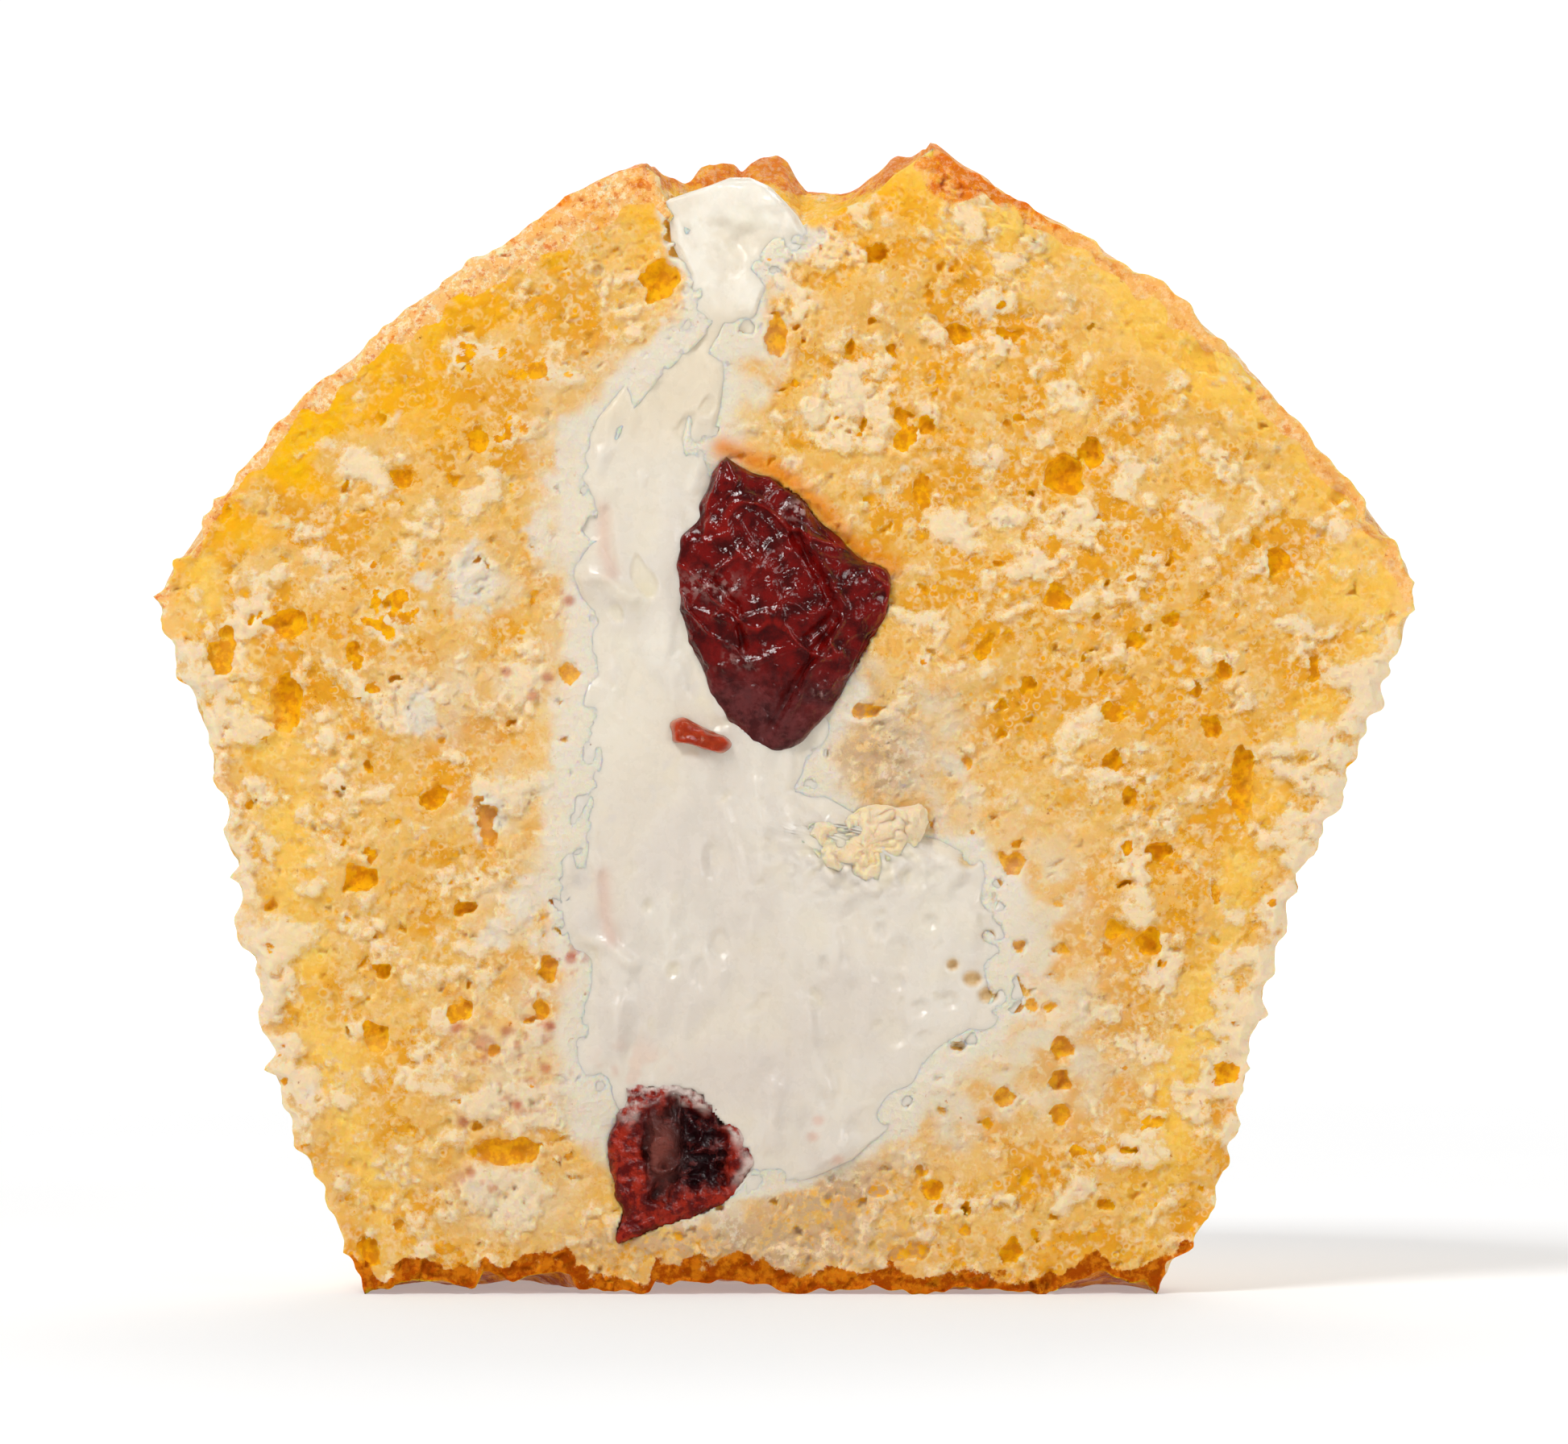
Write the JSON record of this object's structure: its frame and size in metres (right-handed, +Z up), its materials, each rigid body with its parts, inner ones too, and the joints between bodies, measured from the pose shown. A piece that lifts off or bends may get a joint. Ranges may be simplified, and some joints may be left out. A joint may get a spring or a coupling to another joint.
{
  "type": "half muffin",
  "caption": "Half of a cream-filled muffin cut down the middle, with a domed browned top, pleated sides, a cream core and dried cherries set in the cut face.",
  "frame": {"origin": "on the base, under the middle of the bounding box", "axes": "+Z up from the base to the crown, +X to the right along the cut face, -Y out of the cut face"},
  "size_m": [0.07, 0.0366, 0.0641],
  "materials": {
    "crumb": "open yellow sponge crumb with a golden brown baked crust",
    "cream": "smooth soft white cream, slightly glossy",
    "cherry": "dark red wrinkled glossy fruit skin",
    "cherry_flesh": "translucent brick red fruit flesh"
  },
  "bodies": {
    "root": {"muffin_crumb": "crumb", "torn_crumb": "crumb", "cream_filling": "cream", "upper_cherry": "cherry", "lower_cherry": "cherry", "cherry_sliver": "cherry_flesh"}
  },
  "joints": []
}
